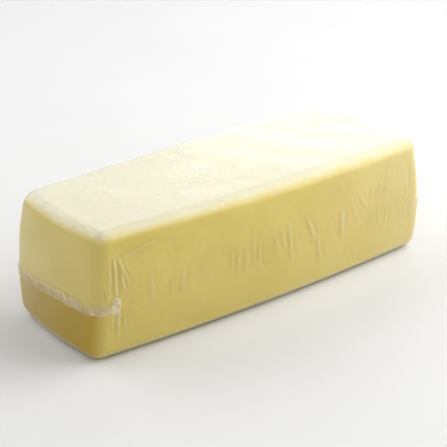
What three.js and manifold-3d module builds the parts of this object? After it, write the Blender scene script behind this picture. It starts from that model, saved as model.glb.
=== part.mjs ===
// A block of semi-hard cheese of about 3 kg, as it leaves the dairy: one rindless loaf, shrunk tight
// into a clear film tube. Each mouth of the tube is welded to a flat strip, which lies folded against
// the end of the loaf, and whose two ears wrap round the upright corners on to the long sides.
//
// Millimetres, +Z up, +X along the loaf. The origin is under the middle of the part, on the surface
// that it lies on.
import * as THREE from "three";
import { mergeVertices } from "three/addons/utils/BufferGeometryUtils.js";
import Module from "manifold-3d";

// The wrapped loaf: a brick with rounded edges, given by its size at the eight corners
const LENGTH = 288;
const WIDTH = 100;
const HEIGHT = 91;
const EDGE_RADIUS = 9;

// How far the loaf swells past that brick, as soft cheese does when it is pressed and vacuum-packed
const END_SWELL = 4; // of each end, between its two upright corners
const END_BARREL = 2.4; // of each end, at half its height
const NEAR_SWELL = 6.2; // of the long side at -Y, halfway along it
const FAR_SWELL = 4.8; // of the long side at +Y, halfway along it
const SIDE_BARREL = 4.1; // of both long sides, at half their height
const CROWN = 0.8; // of the top, at its middle
const FOOT_SPREAD = 3.4; // how much further each end stands out at the foot, and less at the top
const WIDER_END = 3.4; // how much further each long side stands out at the +X end, and less at -X

// The film and its welds. Both are thicker than the real ones, which are 0.06 mm and 0.15 mm.
const FILM = 0.4;
const WELD = 0.8;
const CLEARANCE = 0.3; // between pieces that touch

// The weld strips
const STRIP_HEIGHT = 7.4;
const STRIP_LEVEL = 38.2; // height of a strip's middle at the middle of its end
const STRIP_SLOPE = 3.4; // degrees, with the -Y corner higher
const STRIP_REACH = 15; // how far a strip runs in from the end of the loaf
const MOUTH_HEIGHT = 1.6; // the tube's mouth, under the strip
const MOUTH_WIDTH = 84;
const EAR_LENGTH = 5.6;
const EAR_HEIGHT = 12;
const EAR_SETBACK = 14; // from the end of the loaf to the middle of an ear
const EAR_RISE = 1.8; // of an ear's middle over its strip

// Mesh steps: across the flat core of each axis, and across each half of a rounded edge
const CORE_STEPS = { x: 12, y: 6, z: 6 };
const ARC_STEPS = 2;

const wasm = await Module();
wasm.setup();

// Where the mesh lines cross one axis: evenly over the flat core, then at even angles round the edge.
function stations(half, radius, coreSteps) {
  const core = half - radius;
  const arc = Array.from(
    { length: ARC_STEPS },
    (_, i) => core + radius * Math.tan((((i + 1) / ARC_STEPS) * Math.PI) / 4),
  );
  const flat = Array.from(
    { length: coreSteps + 1 },
    (_, i) => -core + (2 * core * i) / coreSteps,
  );
  return [...arc.map((v) => -v).reverse(), ...flat, ...arc];
}

// How soft cheese departs from the brick at a place given as shares p, q and w (-1 to 1) of its half
// length, half width and half height.
function swell(p, q, w) {
  const nearShare = (1 - q) / 2;
  const farShare = (1 + q) / 2;
  const along = 1 - p * p;
  const across = 1 - q * q;
  const up = 1 - w * w;
  return new THREE.Vector3(
    p * (END_SWELL * across + END_BARREL * up - FOOT_SPREAD * w),
    (FAR_SWELL * farShare - NEAR_SWELL * nearShare) * along + SIDE_BARREL * q * up + WIDER_END * p * q,
    (CROWN * along * across * (1 + w)) / 2,
  );
}

// The loaf's outer shape, grown outwards by a distance: a box whose edges are rounded by moving every
// point on to the radius around the flat core, then swollen. All grown copies share their mesh lines,
// so that nested skins keep an even distance.
function loafGeometry(grow) {
  const radius = EDGE_RADIUS + grow;
  const half = new THREE.Vector3(LENGTH / 2 + grow, WIDTH / 2 + grow, HEIGHT / 2 + grow);
  const lines = {
    x: stations(half.x, radius, CORE_STEPS.x),
    y: stations(half.y, radius, CORE_STEPS.y),
    z: stations(half.z, radius, CORE_STEPS.z),
  };
  const steps = {
    x: lines.x.length - 1,
    y: lines.y.length - 1,
    z: lines.z.length - 1,
  };
  const geometry = new THREE.BoxGeometry(2, 2, 2, steps.x, steps.y, steps.z);
  const core = half.clone().subScalar(radius);
  const position = geometry.getAttribute("position");
  const point = new THREE.Vector3();
  for (let i = 0; i < position.count; i++) {
    point.fromBufferAttribute(position, i);
    for (const axis of ["x", "y", "z"]) {
      const line = Math.round(((point[axis] + 1) / 2) * steps[axis]);
      point[axis] = lines[axis][line];
    }
    const inner = point.clone().clamp(core.clone().negate(), core);
    point.sub(inner).setLength(radius).add(inner);
    point.add(swell(point.x / half.x, point.y / half.y, point.z / half.z));
    position.setXYZ(i, point.x, point.y, point.z + HEIGHT / 2);
  }
  return geometry;
}

// A geometry as a solid that can be joined and cut.
function solid(geometry) {
  const bare = geometry.clone();
  bare.deleteAttribute("normal");
  bare.deleteAttribute("uv");
  const merged = mergeVertices(bare, 1e-4);
  return new wasm.Manifold(
    new wasm.Mesh({
      numProp: 3,
      vertProperties: merged.getAttribute("position").array,
      triVerts: new Uint32Array(merged.index.array),
    }),
  );
}

// A solid as a geometry that can be drawn.
function geometryOf(body) {
  const mesh = body.getMesh();
  const geometry = new THREE.BufferGeometry();
  geometry.setAttribute("position", new THREE.BufferAttribute(mesh.vertProperties, 3));
  geometry.setIndex(new THREE.BufferAttribute(mesh.triVerts, 1));
  geometry.computeVertexNormals();
  return geometry;
}

// A box used as a cutter, by its size and its middle, tilted about X with its -Y side up.
function block(size, middle, tiltDegrees = 0) {
  const geometry = new THREE.BoxGeometry(size.x, size.y, size.z);
  geometry.rotateX(THREE.MathUtils.degToRad(-tiltDegrees));
  geometry.translate(middle.x, middle.y, middle.z);
  return solid(geometry);
}

const endPlane = LENGTH / 2;
const past = 20; // how far the cutters stand out past the loaf

// The mouth at one end of the film tube: a flat slot through the film, along the middle of the strip.
function mouth(end) {
  const depth = EDGE_RADIUS + past;
  return block(
    new THREE.Vector3(depth, MOUTH_WIDTH, MOUTH_HEIGHT),
    new THREE.Vector3(end * (endPlane + past - depth / 2), 0, STRIP_LEVEL),
    STRIP_SLOPE,
  );
}

// The weld strip at one end: a thin skin just outside the film, kept where it passes through a tilted
// slab and, at both ends of the slab, through a box for the ear.
function weldStrip(end) {
  const skin = solid(loafGeometry(CLEARANCE + WELD)).subtract(solid(loafGeometry(CLEARANCE)));
  const depth = STRIP_REACH + past;
  const slab = block(
    new THREE.Vector3(depth, WIDTH + 2 * past, STRIP_HEIGHT),
    new THREE.Vector3(end * (endPlane + past - depth / 2), 0, STRIP_LEVEL),
    STRIP_SLOPE,
  );
  const rise = (WIDTH / 2) * Math.tan(THREE.MathUtils.degToRad(STRIP_SLOPE));
  const ears = [-1, 1].map((side) =>
    block(
      new THREE.Vector3(EAR_LENGTH, 2 * past, EAR_HEIGHT),
      new THREE.Vector3(
        end * (endPlane - EAR_SETBACK),
        side * (WIDTH / 2),
        STRIP_LEVEL - side * rise + EAR_RISE,
      ),
    ),
  );
  return skin.intersect(slab.add(ears[0]).add(ears[1]));
}

function piece(name, geometry, colour, roughness, look = {}) {
  const material = new THREE.MeshStandardMaterial({
    color: colour,
    roughness,
    metalness: 0,
    ...look,
  });
  const mesh = new THREE.Mesh(geometry, material);
  mesh.name = name;
  return mesh;
}

// The cheese itself, one solid loaf inside the film
function cheeseBlock() {
  return piece("cheese_block", loafGeometry(-FILM - CLEARANCE), 0xdcc98a, 0.5);
}

// The film tube, shrunk on, with a mouth at each end
function filmTube() {
  const wall = solid(loafGeometry(0)).subtract(solid(loafGeometry(-FILM)));
  const open = wall.subtract(mouth(-1)).subtract(mouth(1));
  return piece("shrink_film", geometryOf(open), 0xf4f0dc, 0.15, {
    transparent: true,
    opacity: 0.3,
  });
}

function endSeal(name, end) {
  return piece(name, geometryOf(weldStrip(end)), 0xd9c9a0, 0.35);
}

const loaf = new THREE.Group();
loaf.add(cheeseBlock(), filmTube(), endSeal("front_seal", -1), endSeal("rear_seal", 1));

// Centre the part over the origin, standing on z = 0.
const bounds = new THREE.Box3().setFromObject(loaf);
const middle = bounds.getCenter(new THREE.Vector3());
loaf.position.set(-middle.x, -middle.y, -bounds.min.z);

export default loaf;
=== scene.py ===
import bpy
import numpy as np
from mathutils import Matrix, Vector


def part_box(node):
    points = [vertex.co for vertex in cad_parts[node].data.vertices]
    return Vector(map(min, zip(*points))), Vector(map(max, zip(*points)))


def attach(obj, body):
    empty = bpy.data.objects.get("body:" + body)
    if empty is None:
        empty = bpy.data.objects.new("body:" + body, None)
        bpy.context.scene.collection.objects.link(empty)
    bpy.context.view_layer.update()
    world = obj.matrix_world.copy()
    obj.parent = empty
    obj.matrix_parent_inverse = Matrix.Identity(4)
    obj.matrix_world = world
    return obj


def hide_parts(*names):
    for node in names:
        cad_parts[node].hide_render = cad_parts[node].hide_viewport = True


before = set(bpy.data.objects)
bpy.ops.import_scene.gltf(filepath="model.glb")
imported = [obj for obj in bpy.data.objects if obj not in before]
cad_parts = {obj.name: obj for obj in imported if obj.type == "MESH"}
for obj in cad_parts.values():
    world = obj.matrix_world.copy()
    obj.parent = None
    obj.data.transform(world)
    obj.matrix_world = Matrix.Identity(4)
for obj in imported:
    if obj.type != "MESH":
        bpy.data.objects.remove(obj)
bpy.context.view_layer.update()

# ---------------------------------------------------------------------------------------------
# The cheese. One rindless loaf of semi-hard cheese, pressed in a mould and ripened in its film:
# a soft brick with rounded edges, swollen sides and a foot wider than its top. Its skin is pale
# butter yellow, faintly mottled, and finely pitted where the moulding cloth left its mark.
# ---------------------------------------------------------------------------------------------
MM = 0.001
BRICK_HALF = np.array([288.0, 100.0, 91.0]) * MM / 2  # length, width and height at the corners
EDGE_RADIUS = 9 * MM
END_SWELL = 4 * MM  # of each end, between its upright corners
END_BARREL = 2.4 * MM  # of each end, at half its height
NEAR_SWELL = 6.2 * MM  # of the long side at -Y, halfway along it
FAR_SWELL = 4.8 * MM  # of the long side at +Y, halfway along it
SIDE_BARREL = 4.1 * MM  # of both long sides, at half their height
CROWN = 0.8 * MM  # of the top, at its middle
FOOT_SPREAD = 3.4 * MM  # each end stands out by this at the foot, and in by it at the top
WIDER_END = 3.4 * MM  # each long side stands out by this at the +X end, and in by it at -X
WELD_LEVEL = 38.2 * MM  # height of a weld strip's middle at the middle of its end
WELD_SLOPE = np.tan(np.radians(3.4))  # how fast a strip rises towards -Y
WELD_SAG = 0.9 * MM  # of a strip's middle line at both corners, under a straight line
FILM_GAP = 0.3 * MM  # from the cheese to the middle of its film


def swollen(brick, grow):
    """Places on the loaf's skin and the directions out of it, for points on the surface of a
    brick that is larger by grow on every side. A point is moved on to the edge radius round the
    brick's flat core. It then swells by parabolas (1 - p^2, 1 - q^2, 1 - w^2) of its shares
    p, q and w of the half length, half width and half height."""
    half = BRICK_HALF + grow
    radius = EDGE_RADIUS + grow
    core = np.clip(brick, radius - half, half - radius)
    outward = brick - core
    outward = outward / np.linalg.norm(outward, axis=-1, keepdims=True)
    place = core + radius * outward
    p, q, w = np.moveaxis(place / half, -1, 0)
    along, across, up = 1 - p * p, 1 - q * q, 1 - w * w
    bulge = (FAR_SWELL * (1 + q) - NEAR_SWELL * (1 - q)) / 2
    swell = np.stack([
        p * (END_SWELL * across + END_BARREL * up - FOOT_SPREAD * w),
        bulge * along + SIDE_BARREL * q * up + WIDER_END * p * q,
        CROWN * along * across * (1 + w) / 2,
    ], axis=-1)
    return place + swell, outward


def mesh_lines(half, radius, steps, arc_steps, crowd=0.0):
    """Where a mesh's lines cross one axis of a brick: over the flat core they are even, or closer
    together at both its ends by crowd, and round each edge they are at even angles, which puts
    them at the radius times the tangent of 0 to 45 degrees past the core."""
    turn = radius * np.tan(np.linspace(0, np.pi / 4, arc_steps + 1)[1:])
    share = np.linspace(-1, 1, steps + 1)
    core = (half - radius) * (share + crowd * np.sin(np.pi * share) / np.pi)
    return np.concatenate([radius - half - turn[::-1], core, half - radius + turn])


def brick_skin(steps, arc_steps, grow, crowd):
    """The surface of a brick as one closed net: a grid of two parameters on each of the six
    sides, whose rims share their points. Returns the points and the four corners of each face."""
    half, radius = BRICK_HALF + grow, EDGE_RADIUS + grow
    lines = [mesh_lines(half[k], radius, steps[k], arc_steps, crowd[k]) for k in range(3)]
    points, faces, first = [], [], 0
    for axis in range(3):
        across, up = (axis + 1) % 3, (axis + 2) % 3
        for side in (-1, 1):
            a, b = np.meshgrid(lines[across], lines[up], indexing="ij")
            grid = np.empty(a.shape + (3,))
            grid[..., axis], grid[..., across], grid[..., up] = side * half[axis], a, b
            number = first + np.arange(a.size).reshape(a.shape)
            corners = [number[:-1, :-1], number[1:, :-1], number[1:, 1:], number[:-1, 1:]]
            points.append(grid.reshape(-1, 3))
            faces.append(np.stack(corners[::side], axis=-1).reshape(-1, 4))
            first += a.size
    points = np.concatenate(points)
    grain = np.round(points / (0.001 * MM)).astype(np.int64)
    _, kept, shared = np.unique(grain, axis=0, return_index=True, return_inverse=True)
    return points[kept], shared.reshape(-1)[np.concatenate(faces)]


def ripples(places, wavelength, seed, count=36):
    """A smooth random relief of unit strength: the sum of plane waves of about one wavelength,
    each in a random direction and from a random phase, over the root of half their number."""
    chance = np.random.default_rng(seed)
    directions = chance.normal(size=(count, 3))
    directions /= np.linalg.norm(directions, axis=1, keepdims=True)
    numbers = 2 * np.pi / (wavelength * chance.uniform(0.7, 1.5, count))
    phases = chance.uniform(0, 2 * np.pi, count)
    total = np.zeros(places.shape[:-1])
    for direction, number, phase in zip(directions, numbers, phases):
        total += np.sin(places @ direction * number + phase)
    return total / np.sqrt(count / 2)


def fold(u, v, start, end, width, bow=0.0):
    """The height of one fold at (u, v), from 0 to 1. Across the line from start to end it is
    (1 - 2 a^2) exp(-a^2) of the distance a in widths, a crest between two shallow troughs.
    Along the line it grows and dies like half a sine wave, and bow bends it to a parabola."""
    run_u, run_v = end[0] - start[0], end[1] - start[1]
    length = np.hypot(run_u, run_v)
    along = np.clip(((u - start[0]) * run_u + (v - start[1]) * run_v) / length**2, 0, 1)
    aside = ((v - start[1]) * run_u - (u - start[0]) * run_v) / length
    a = (aside - bow * 4 * along * (1 - along)) / width
    return (1 - 2 * a * a) * np.exp(-a * a) * np.sin(np.pi * along) ** 0.6


# Folds that the shrinking film pressed into the long side at -Y, in millimetres: x and z of the
# upper end, x and z of the lower end, width and height. The film and the cheese share them.
SIDE_FOLDS = [
    (-106.5, 58, -106.7, 39, 2.4, 0.28),
    (-99, 52, -98.9, 42, 1.7, 0.14),
    (-91, 51, -91.6, 37, 1.8, 0.22),
    (-81.4, 55, -83.4, 34, 1.9, 0.31),
    (-75, 58, -75.4, 43, 1.8, 0.20),
    (-66.2, 57, -66.3, 38, 1.8, 0.21),
    (-61.4, 56, -62.8, 39, 1.7, 0.25),
    (-41.1, 61, -41.5, 36, 1.9, 0.24),
    (-35.8, 57, -36.2, 34, 1.8, 0.28),
    (-29.5, 55, -29.8, 35, 2.8, 0.28),
    (-23.5, 67, -23.9, 37, 1.9, 0.34),
    (-18.5, 58, -18.0, 31, 1.8, 0.25),
    (-4.6, 60, -2.4, 43, 1.9, 0.31),
    (0.4, 62, 5.9, 41, 1.8, 0.31),
    (8.1, 62, 11.0, 31, 2.0, 0.42),
    (19.6, 55, 19.6, 45, 1.5, 0.18),
    (23.2, 64, 33.0, 38, 2.1, 0.50),
    (34.0, 58, 34.6, 44, 1.7, 0.34),
    (34.6, 47, 39.2, 22, 1.9, 0.46),
    (58.7, 58, 58.5, 36, 2.5, 0.42),
    (68.0, 60, 75.8, 41, 2.0, 0.24),
    (75.8, 66, 83.8, 52, 2.0, 0.34),
    (90.6, 69, 87.8, 56, 1.9, 0.34),
    (99.2, 70, 97.4, 58, 1.8, 0.28),
    (106.2, 71, 105.0, 61, 1.6, 0.22),
    (86.3, 51, 87.5, 37, 1.6, 0.18),
    (95.6, 52, 99.4, 32, 1.7, 0.25),
    (104.5, 50, 105.9, 33, 1.6, 0.25),
]

# Folds that run to the ear of a weld strip on the long side: as above, with x counted from the
# middle of the loaf towards that end, as a negative number.
EAR_FOLDS = [
    (-131.2, 76, -132.2, 47, 1.4, 0.90),
    (-129.6, 76, -122.4, 54, 1.4, 0.60),
    (-127.2, 64, -126.2, 51, 1.3, 0.55),
    (-130.6, 72, -104.6, 79, 1.4, 0.45),
    (-134.4, 72, -137.0, 52, 1.3, 0.45),
    (-138.5, 55, -137.0, 44, 1.1, 0.42),
    (-142.2, 46, -139.5, 56, 1.1, 0.30),
    (-127.9, 71, -126.0, 62, 1.1, 0.45),
    (-125.6, 66, -127.6, 58, 1.1, 0.45),
    (-127.8, 60, -125.2, 52, 1.1, 0.45),
    (-128.9, 57, -128.6, 48, 1.0, 0.40),
    (-124.6, 50, -126.2, 44, 1.1, 0.35),
    (-127.4, 34, -127.0, 24, 1.2, 0.40),
    (-129.3, 33, -129.6, 26, 1.1, 0.30),
    (-131.0, 40, -132.0, 25, 1.4, 0.80),
    (-131.5, 28, -131.6, 17, 1.4, 0.40),
    (-135.0, 36, -135.6, 21, 1.3, 0.35),
    (-127.2, 37, -119.3, 27, 1.3, 0.28),
    (-128.0, 27, -125.0, 18, 1.2, 0.22),
    (-119.2, 50, -122.2, 37, 1.2, 0.22),
    (-113.5, 57, -113.7, 50, 1.2, 0.20),
]


# Two long faint wrinkles along the top: x and y of one end, x and y of the other, width, height.
TOP_FOLDS = [
    (13, 9, 36, 4, 1.3, 0.30),
    (66, -3, 92, -5.5, 1.3, 0.24),
]


def folds_of(u, v, entries, seed=None):
    """The summed height of the listed folds at (u, v), in metres. A seed moves and scales each
    one a little, so that no two corners of the loaf are alike."""
    chance = np.random.default_rng(seed)
    total = np.zeros(u.shape)
    for u0, v0, u1, v1, width, height in entries:
        bow = chance.normal(0, 0.5)
        if seed is not None:
            nudge = chance.normal(0, 1.0, 4)
            u0, v0, u1, v1 = u0 + nudge[0], v0 + 2 * nudge[1], u1 + nudge[2], v1 + 2 * nudge[3]
            height *= chance.uniform(0.5, 1.1)
        start, end = (u0 * MM, v0 * MM), (u1 * MM, v1 * MM)
        total += height * MM * fold(u, v, start, end, width * MM, bow * MM)
    return total


def scattered_folds(u, v, seed, count, u_span, v_middle, lean):
    """Folds of random place, length and lean, for the parts that carry no listed ones."""
    chance = np.random.default_rng(seed)
    total = np.zeros(u.shape)
    for _ in range(count):
        middle = chance.uniform(*u_span), v_middle + chance.normal(0, 5 * MM)
        reach = chance.uniform(4, 13) * MM
        tilt = chance.normal(0, lean)
        start = middle[0] + tilt * reach, middle[1] + reach
        end = middle[0] - tilt * reach, middle[1] - reach
        width = chance.uniform(1.5, 2.7) * MM
        total += chance.uniform(0.06, 0.26) * MM * fold(u, v, start, end, width)
    return total


def folds_at(places, outward):
    """The height of the film's folds all over the loaf, each kept to the side that it faces."""
    x, y, z = np.moveaxis(places, -1, 0)
    near, far = np.clip(-outward[:, 1], 0, 1) ** 2, np.clip(outward[:, 1], 0, 1) ** 2
    end = np.abs(outward[:, 0]) ** 3
    lid = np.clip(outward[:, 2], 0, 1) ** 3
    at_rear = x > 0
    inwards = -np.abs(x)
    near_ears = np.where(
        at_rear, 0.4 * folds_of(inwards, z, EAR_FOLDS, seed=5), folds_of(x, z, EAR_FOLDS)
    )
    far_ears = np.where(
        at_rear, folds_of(inwards, z, EAR_FOLDS, seed=6), folds_of(inwards, z, EAR_FOLDS, seed=7)
    )
    level = 47 * MM
    total = near * (folds_of(x, z, SIDE_FOLDS) + near_ears)
    total += near * 0.35 * scattered_folds(x, z, 11, 20, (-0.118, 0.118), level, 0.10)
    total += far * (scattered_folds(x, z, 12, 44, (-0.118, 0.118), level, 0.14) + far_ears)
    total += 0.16 * end * scattered_folds(y, z, 13, 12, (-0.040, 0.034), 56 * MM, 0.10)
    total += 0.30 * lid * scattered_folds(y, x, 14, 26, (-0.050, 0.050), 0.0, 0.5)
    total += lid * folds_of(x, y, TOP_FOLDS)
    return total


def flat_underneath(outward):
    """1 on the sides and the top, falling to 0 on the underside, which lies flat."""
    return np.clip(1.0 + 1.6 * outward[:, 2], 0, 1) ** 2


def uneven(places):
    """The slow unevenness of a soft loaf, in metres: ripples a hand, a finger and a bean wide."""
    slow = 0.26 * ripples(places, 110 * MM, 21) + 0.09 * ripples(places, 36 * MM, 22)
    return (slow + 0.025 * ripples(places, 11 * MM, 23)) * MM


def make_piece(name, places, faces, material, node):
    """A smooth-shaded mesh object of these points and faces that stands for a CAD node."""
    mesh = bpy.data.meshes.new(name)
    mesh.from_pydata(places.tolist(), [], [list(face) for face in faces])
    mesh.validate()
    mesh.shade_smooth()
    mesh.materials.append(material)
    piece = bpy.data.objects.new(name, mesh)
    bpy.context.scene.collection.objects.link(piece)
    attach(piece, "root")
    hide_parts(node)
    return piece


def give(piece, name, values):
    """Stores one number for each point of a piece, which its material reads by name."""
    layer = piece.data.attributes.new(name, "FLOAT", "POINT")
    layer.data.foreach_set("value", values.astype(np.float32))


class Wire:
    """One socket of a material's node tree. Arithmetic on it adds Math nodes."""

    def __init__(self, tree, socket=None):
        self.tree, self.socket = tree, socket

    def node(self, kind, settings, inputs, output=0):
        """Adds a node of this type, with its settings first and then the values or links of its
        sockets, and returns one of its outputs."""
        made = self.tree.nodes.new(kind)
        for name, value in settings.items():
            setattr(made, name, value)
        for name, value in inputs.items():
            if isinstance(value, Wire):
                self.tree.links.new(value.socket, made.inputs[name])
            elif isinstance(value, tuple) and len(value) == 3 and made.inputs[name].type == "RGBA":
                made.inputs[name].default_value = (*value, 1.0)
            else:
                made.inputs[name].default_value = value
        return Wire(self.tree, made.outputs[output])

    def maths(self, operation, *values):
        return self.node("ShaderNodeMath", {"operation": operation}, dict(enumerate(values)))

    def __add__(self, other):
        return self.maths("ADD", self, other)

    def __sub__(self, other):
        return self.maths("SUBTRACT", self, other)

    def __rsub__(self, other):
        return self.maths("SUBTRACT", other, self)

    def __mul__(self, other):
        return self.maths("MULTIPLY", self, other)

    __radd__, __rmul__ = __add__, __mul__

    def held(self):
        """The value kept between 0 and 1."""
        return self.node("ShaderNodeClamp", {}, {0: self})

    def blend(self, first, second):
        """The colour that goes from first to second as this value goes from 0 to 1."""
        inputs = {0: self, 6: first, 7: second}
        return self.node("ShaderNodeMix", {"data_type": "RGBA"}, inputs, output=2)

    def between(self, low, high):
        """0 where the value is below low, 1 where it is above high, and smooth between."""
        settings = {"interpolation_type": "SMOOTHSTEP"}
        return self.node("ShaderNodeMapRange", settings, {0: self, 1: low, 2: high})

    def noise(self, place, scale, detail=2.0, roughness=0.5):
        """A cloudy pattern from 0 to 1, with about scale clouds to the metre."""
        inputs = {"Vector": place, "Scale": scale, "Detail": detail, "Roughness": roughness}
        return self.node("ShaderNodeTexNoise", {}, inputs, output="Fac")

    def place(self):
        """The point's own place in the part, in metres."""
        return self.node("ShaderNodeTexCoord", {}, {}, output="Object")

    def attribute(self, name):
        return self.node("ShaderNodeAttribute", {"attribute_name": name}, {}, output="Fac")

    def bump(self, height, distance, strength=1.0):
        inputs = {"Height": height, "Distance": distance, "Strength": strength}
        return self.node("ShaderNodeBump", {}, inputs)

    def show(self, shader):
        """Makes this shader the material's surface."""
        output = self.tree.nodes.new("ShaderNodeOutputMaterial")
        self.tree.links.new(shader.socket, output.inputs["Surface"])


def new_material(name):
    material = bpy.data.materials.new(name)
    material.use_nodes = True
    material.node_tree.nodes.clear()
    return material, Wire(material.node_tree)


def cheese_material():
    """Butter-yellow cheese: slow blotches and fine pale and dark specks that crowd in patches on the
    top, over a finely pitted skin that light enters. Painted light sits in its colour too. The top
    and its rounded edges are painted brighter and whiter, partly standing for the light that the top
    catches and mirrors in the film, and partly for the film's whitening there. The troughs of the
    folds carry painted shade. Each end is painted darker and more orange below its weld, partly for
    the film drawn tight there and partly as painted shade on the lower end."""
    material, wire = new_material("butter_yellow_cheese")
    place = wire.place()
    lid = wire.attribute("lid")
    blotches = wire.noise(place, 22.0, 3.0).between(0.30, 0.70)
    grain = wire.noise(place, 460.0, 3.0, 0.65)
    crowd = lid * wire.noise(place, 34.0, 2.0).between(0.38, 0.65)
    pale, dark = grain.between(0.54, 0.66), (1 - grain).between(0.56, 0.68)
    colour = blotches.blend((0.665, 0.540, 0.135), (0.710, 0.585, 0.165))
    # Painted highlight: the top and its rounded edges are painted brighter, then whiter. This stands
    # partly for the light that falls on the top and its reflection in the film, and partly for the
    # film's whitening there.
    colour = (0.85 * lid).blend(colour, (0.84, 0.76, 0.32))
    colour = (0.75 * lid * lid).blend(colour, (0.71, 0.70, 0.60))
    colour = ((0.60 * crowd + 0.03) * pale).blend(colour, (0.92, 0.90, 0.74))
    colour = (0.50 * crowd * dark).blend(colour, (0.54, 0.45, 0.20))
    # Painted shade: the cheese is darker in the troughs beside the folds.
    colour = (0.45 * wire.attribute("painted_fold_shade")).blend(colour, (0.50, 0.37, 0.07))
    # Each end below its weld is painted darker and more orange. This is partly for the film drawn
    # tight there, and partly painted shade on the lower end.
    colour = wire.attribute("tight_film_and_shade").blend(colour, (0.46, 0.31, 0.0))
    pits = wire.noise(place, 420.0, 2.0, 0.5).between(0.30, 0.50)
    shader = wire.node("ShaderNodeBsdfPrincipled", {"subsurface_method": "RANDOM_WALK"}, {
        "Base Color": colour,
        "Roughness": 0.45 + 0.15 * grain,
        "Specular IOR Level": 0.2,
        "Subsurface Weight": 0.6,
        "Subsurface Radius": (1.0, 0.62, 0.22),
        "Subsurface Scale": 4 * MM,
        "Normal": wire.bump(pits * (0.25 + 0.75 * crowd), 0.2 * MM, 0.6),
    })
    wire.show(shader)
    return material


film_low, film_high = (np.array(corner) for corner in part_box("shrink_film"))
bare_points, _ = brick_skin((24, 12, 12), 3, 0.0, (0, 0, 0))
bare_places, _ = swollen(bare_points, 0.0)
loaf_shift = (film_low + film_high - bare_places.min(0) - bare_places.max(0)) / 2
loaf_shift[2] = BRICK_HALF[2]  # the loaf stands on the surface that it lies on


def weld_level(y):
    """Height of a weld strip's middle line: a slope and a shallow arch."""
    return WELD_LEVEL - WELD_SLOPE * y - WELD_SAG * (y / BRICK_HALF[1]) ** 2


def below_weld(places, outward):
    """1 on the part of an end that lies below its weld strip, easing to 0 at the corners."""
    x, y, z = np.moveaxis(places, -1, 0)
    under = np.clip((weld_level(y) - z) / (2 * MM), 0, 1)
    return under * np.abs(outward[:, 0]) ** 1.5


def on_lid(places, outward):
    """1 on the flat of the top, falling to 0 round its edges, unevenly."""
    fade = np.clip((outward[:, 2] - 0.18 - 0.03 * ripples(places, 14 * MM, 25)) / 0.78, 0, 1)
    return fade * fade * (3 - 2 * fade)


def cheese_loaf():
    points, faces = brick_skin((190, 54, 50), 5, -FILM_GAP, (0.25, 0, 0))
    places, outward = swollen(points, -FILM_GAP)
    places = places + loaf_shift
    folds = folds_at(places, outward)
    lift = uneven(places) + 0.7 * folds
    pits = np.clip(ripples(places, 5 * MM, 24) - 0.9, 0, 1.5)
    lift = (lift - 0.10 * MM * pits) * flat_underneath(outward)
    places = places + lift[:, None] * outward
    loaf = make_piece("cheese_loaf", places, faces, cheese_material(), "cheese_block")
    # Where the folds sink, for the painted shade in their troughs.
    give(loaf, "painted_fold_shade", np.clip(-folds / (0.3 * MM), 0, 1))
    # Where each end is painted darker below its weld: partly for the film drawn tight there, partly
    # as painted shade.
    give(loaf, "tight_film_and_shade", below_weld(places, outward))
    # The flat of the top, where the cheese is painted brighter and whiter, partly as a painted
    # highlight.
    give(loaf, "lid", on_lid(places, outward))
    return loaf


cheese_loaf()

# ---------------------------------------------------------------------------------------------
# The film. A tube of clear shrink film round the loaf, drawn on by heat until it clings
# everywhere. It has gone down in upright folds along the long sides and in a fan of sharper
# ones at each ear, and it stands off a little, and looks hazier, above the welds.
# ---------------------------------------------------------------------------------------------


def film_material():
    """Clear glossy film. Its two faces together mirror a share 0.03 + 0.97 (1 - c)^4 of the light,
    where c is the cosine of the slant. It turns milky along the crests of its folds and where it
    doesn't touch the cheese. A painted sheen makes it slowly milkier towards the rear end of the near
    side. It is finely crinkled in patches on the top."""
    material, wire = new_material("clear_shrink_film")
    place = wire.place()
    lid = wire.attribute("lid")
    crowd = lid * wire.noise(place, 34.0, 2.0).between(0.38, 0.65)
    crinkle = wire.noise(place, 560.0, 3.0, 0.6) * (0.15 + 2.2 * crowd)
    normal = wire.bump(crinkle + 0.7 * wire.noise(place, 180.0, 2.0, 0.5), 0.16 * MM, 1.0)
    clear = wire.node("ShaderNodeBsdfTransparent", {}, {"Color": (0.99, 0.985, 0.97)})
    gloss = wire.node("ShaderNodeBsdfGlossy", {}, {
        "Color": (1.0, 1.0, 1.0), "Roughness": 0.32, "Normal": normal,
    })
    milk = wire.node("ShaderNodeBsdfPrincipled", {}, {
        "Base Color": (0.92, 0.89, 0.76), "Roughness": 0.32, "Normal": normal,
    })
    slant = wire.node("ShaderNodeLayerWeight", {}, {"Blend": 0.5}, output="Facing")
    mirrored = 0.03 + 0.97 * slant.maths("POWER", slant, 4.0)
    glossy = wire.node("ShaderNodeMixShader", {}, {0: mirrored, 1: clear, 2: gloss})
    specks = wire.noise(place, 460.0, 3.0, 0.65).between(0.50, 0.66)
    loose = 0.03 * lid + (0.02 + 0.08 * specks) * crowd
    haze = (wire.attribute("haze") + loose + 0.01 * wire.noise(place, 60.0, 3.0)).held()
    wire.show(wire.node("ShaderNodeMixShader", {}, {0: haze, 1: glossy, 2: milk}))
    return material


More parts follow.
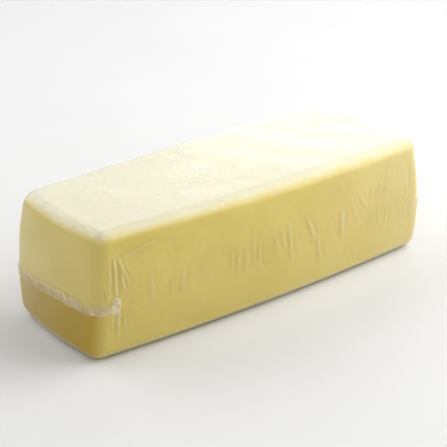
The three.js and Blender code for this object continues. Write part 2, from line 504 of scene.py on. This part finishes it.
def film_skin():
    points, faces = brick_skin((250, 56, 60), 6, 0.0, (0.25, 0, 0))
    places, outward = swollen(points, 0.0)
    places = places + loaf_shift
    folds = folds_at(places, outward)
    lift = (uneven(places) + folds) * flat_underneath(outward)
    slack = (1 - below_weld(places, outward)) * np.abs(outward[:, 0]) ** 1.5
    x, y, z = np.moveaxis(places, -1, 0)
    # Painted sheen: the near side's film is made slowly milkier towards the rear end and upwards,
    # where the light falls on it more brightly.
    painted_rear_sheen = np.clip((x - 20 * MM) / (120 * MM), 0, 1) * np.clip((z + 20 * MM) / (90 * MM), 0, 1)
    haze = 0.03 * slack + 0.14 * painted_rear_sheen * np.clip(-outward[:, 1], 0, 1)
    haze += 0.30 * np.clip(folds / (0.8 * MM), 0, 1)
    places = places + lift[:, None] * outward
    skin = make_piece("film_skin", places, faces, film_material(), "shrink_film")
    give(skin, "haze", haze)
    give(skin, "lid", on_lid(places, outward))
    return skin


film_skin()

# ---------------------------------------------------------------------------------------------
# The weld strips. At each end the tube's mouth is pressed flat and melted into a milky strip,
# trimmed, and folded against the end. Its crinkled lips show, and its two ears lie round the
# corners on the long sides.
# ---------------------------------------------------------------------------------------------
STRIP_HEIGHT = 7.4 * MM
STRIP_THICKNESS = 0.4 * MM
STRIP_STAND_OFF = 0.45 * MM  # from the film to the middle of the strip
EAR_HEIGHT = 12 * MM
EAR_LENGTH = 5.6 * MM
EAR_REACH = 16.8 * MM  # from the end of the loaf to the tip of an ear
EAR_RISE = 1.8 * MM


def strip_path(end):
    """Points along a strip on the brick's outline: in along the -Y side from the tip of one ear
    to the corner, across the end, and out along the +Y side. With them goes each point's
    distance from the nearer tip."""
    half, radius = BRICK_HALF, EDGE_RADIUS
    arc = radius * np.tan(np.linspace(0, np.pi / 4, 9))
    side = np.concatenate([np.linspace(EAR_REACH, radius, 24)[:-1], radius - arc])
    across = np.concatenate([radius - half[1] - arc[::-1], np.linspace(-1, 1, 118)[1:-1]
                             * (half[1] - radius), half[1] - radius + arc])
    x = np.concatenate([half[0] - side, np.full(len(across) - 2, half[0]), half[0] - side[::-1]])
    y = np.concatenate([np.full(len(side), -half[1]), across[1:-1], np.full(len(side), half[1])])
    path = np.stack([end * x, y], axis=-1)
    steps = np.concatenate([[0], np.cumsum(np.linalg.norm(np.diff(path, axis=0), axis=1))])
    return path, np.minimum(steps, steps[-1] - steps)


def weld_strip(name, end, node, seed, milk, material):
    """A flat ribbon whose section, a flattened ring, is carried along the strip's path. The ring
    is wider at the ears, and crinkles push its outer face in and out. A weld made hotter has
    run clearer: milk is the share of the haze that is left in it."""
    path, to_tip = strip_path(end)
    around = np.linspace(0, 2 * np.pi, 40, endpoint=False)
    ear = np.clip((EAR_LENGTH + 1.5 * MM - to_tip) / (1.5 * MM), 0, 1)
    ear = ear * ear * (3 - 2 * ear)
    tip = np.clip(to_tip / (1.2 * MM), 0, 1) ** 0.5
    height = (STRIP_HEIGHT + (EAR_HEIGHT - STRIP_HEIGHT) * ear) * (0.55 + 0.45 * tip)
    level = weld_level(path[:, 1]) + EAR_RISE * ear
    ragged = ripples(np.stack([path[:, 0], path[:, 1], 0 * level], -1), 9 * MM, seed)
    level = level + 0.25 * MM * ragged
    up = np.sign(np.sin(around)) * np.abs(np.sin(around)) ** 0.8
    out = np.sign(np.cos(around)) * np.abs(np.cos(around)) ** 0.5
    z = level[:, None] + height[:, None] / 2 * up[None, :]
    brick = np.stack([
        np.broadcast_to(path[:, :1], z.shape), np.broadcast_to(path[:, 1:], z.shape),
        z - BRICK_HALF[2],
    ], axis=-1)
    places, outward = swollen(brick, 0.0)
    places = places + loaf_shift
    flat_places, flat_outward = places.reshape(-1, 3), outward.reshape(-1, 3)
    base = uneven(flat_places).reshape(z.shape)
    crinkle = 0.12 * ripples(places * [1, 1, 0.6], 5.5 * MM, seed + 1)
    crinkle = crinkle + 0.06 * ripples(places, 2.6 * MM, seed + 2)
    lip = 0.16 * np.exp(-((up + 0.86) / 0.10) ** 2)[None, :]
    outer = np.clip(out, 0, 1)[None, :]
    stand = STRIP_STAND_OFF + STRIP_THICKNESS / 2 * out[None, :] * (0.3 + 0.7 * tip[:, None])
    lift = base + stand + outer * (crinkle + lip) * MM
    flat_places = flat_places + lift.reshape(-1, 1) * flat_outward
    rows, columns = z.shape
    number = np.arange(rows * columns).reshape(rows, columns)
    following = np.roll(number, -1, axis=1)
    corners = [number[:-1], number[1:], following[1:], following[:-1]]
    faces = np.stack(corners[::end], axis=-1).reshape(-1, 4).tolist()
    caps = [number[0][::-1], number[-1]]
    faces += [cap[::end].tolist() for cap in caps]
    strip = make_piece(name, flat_places, faces, material, node)
    body = 0.20 - 0.20 * up[None, :] + 0.75 * ear[:, None]
    crest = np.clip(body + 1.8 * crinkle + 2.2 * lip, 0, 1) * outer
    give(strip, "crest", crest.reshape(-1))
    give(strip, "milk", np.full(len(flat_places), milk))
    return strip


def weld_material():
    """Melted film: two layers run together, faintly milky and rosy, see-through in patches, and
    whiter along the lower lip, the crests and the ears, with a fine crinkled gloss."""
    material, wire = new_material("milky_weld")
    place = wire.place()
    crest = wire.attribute("crest")
    patches = wire.noise(place, 150.0, 3.0, 0.6).between(0.35, 0.65)
    milky = (wire.attribute("milk") * (0.12 + 0.36 * crest + 0.12 * patches)).held()
    colour = crest.blend((0.86, 0.71, 0.46), (0.96, 0.87, 0.68))
    shader = wire.node("ShaderNodeBsdfPrincipled", {}, {
        "Base Color": colour, "Roughness": 0.34, "Alpha": milky,
        "Normal": wire.bump(wire.noise(place, 600.0, 3.0, 0.6), 0.15 * MM, 0.7),
    })
    wire.show(shader)
    return material


melted_film = weld_material()
weld_strip("front_weld", -1, "front_seal", 31, 1.0, melted_film)
weld_strip("rear_weld", 1, "rear_seal", 41, 0.5, melted_film)

# ---------------------------------------------------------------------------------------------
# The stage: a plain pale floor, soft studio light and a camera. The key light hangs high behind
# the rear end, so that the top glows and the front end falls into soft shade.
# ---------------------------------------------------------------------------------------------
FLOOR_REACH = 4.0


def stage_floor():
    corners = [(-1, -1), (1, -1), (1, 1), (-1, 1)]
    mesh = bpy.data.meshes.new("floor")
    mesh.from_pydata([(FLOOR_REACH * x, FLOOR_REACH * y, -0.0002) for x, y in corners], [],
                     [(0, 1, 2, 3)])
    material, wire = new_material("pale_floor")
    grain = wire.noise(wire.place(), 8.0)
    wire.show(wire.node("ShaderNodeBsdfPrincipled", {}, {
        "Base Color": grain.blend((0.70, 0.70, 0.70), (0.73, 0.73, 0.73)),
        "Roughness": 0.8,
        "Specular IOR Level": 0.15,
    }))
    mesh.materials.append(material)
    floor = bpy.data.objects.new("floor", mesh)
    bpy.context.scene.collection.objects.link(floor)


def soft_light(name, place, aim, size, power, colour=(1.0, 1.0, 1.0)):
    """A square panel that glows evenly, turned from its place towards a point."""
    lamp = bpy.data.lights.new(name, "AREA")
    lamp.shape, lamp.size, lamp.energy, lamp.color = "SQUARE", size, power, colour
    light = bpy.data.objects.new(name, lamp)
    light.location = place
    light.rotation_euler = (Vector(aim) - Vector(place)).to_track_quat("-Z", "Y").to_euler()
    light.visible_camera = False
    bpy.context.scene.collection.objects.link(light)


def surrounding(strength):
    """An even, dim, white room."""
    world = bpy.data.worlds.new("studio")
    world.use_nodes = True
    background = world.node_tree.nodes["Background"]
    background.inputs["Color"].default_value = (1.0, 1.0, 1.0, 1.0)
    background.inputs["Strength"].default_value = strength
    bpy.context.scene.world = world


def look_from(azimuth, elevation, distance, aim, lens):
    a, e = np.radians(azimuth), np.radians(elevation)
    back = Vector((np.sin(a) * np.cos(e), -np.cos(a) * np.cos(e), np.sin(e)))
    data = bpy.data.cameras.new("camera")
    data.lens, data.sensor_width, data.clip_start = lens, 36.0, 0.01
    camera = bpy.data.objects.new("camera", data)
    camera.location = Vector(aim) + distance * back
    camera.rotation_euler = back.to_track_quat("Z", "Y").to_euler()
    bpy.context.scene.collection.objects.link(camera)
    bpy.context.scene.camera = camera


stage_floor()
surrounding(0.10)
soft_light("window_behind", (0.86, 1.04, 0.74), (0.0, 0.0, 0.09), 1.4, 4.8)
soft_light("low_behind", (1.12, 0.95, 0.42), (0.05, 0.0, 0.09), 0.8, 2.8)
soft_light("high_left_behind", (-0.55, 0.95, 0.80), (0.0, 0.0, 0.09), 1.2, 10.0)
soft_light("high_behind", (0.15, 1.10, 0.90), (0.0, 0.0, 0.09), 0.8, 0.8)
soft_light("right", (0.95, 0.25, 0.90), (0.0, 0.0, 0.09), 0.8, 1.6)
soft_light("high_right", (0.75, -0.45, 0.85), (0.0, 0.0, 0.09), 1.2, 15.8)
soft_light("front_left", (-0.90, -0.80, 0.80), (-0.05, 0.0, 0.05), 1.2, 7.0)
soft_light("low_right", (0.90, -0.50, 0.25), (0.10, -0.05, 0.05), 0.5, 1.8)
look_from(-39.0, 24.95, 0.904, (-0.0054, -0.0039 + loaf_shift[1], 0.045), 100.5)
bpy.context.scene.view_settings.view_transform = "Standard"
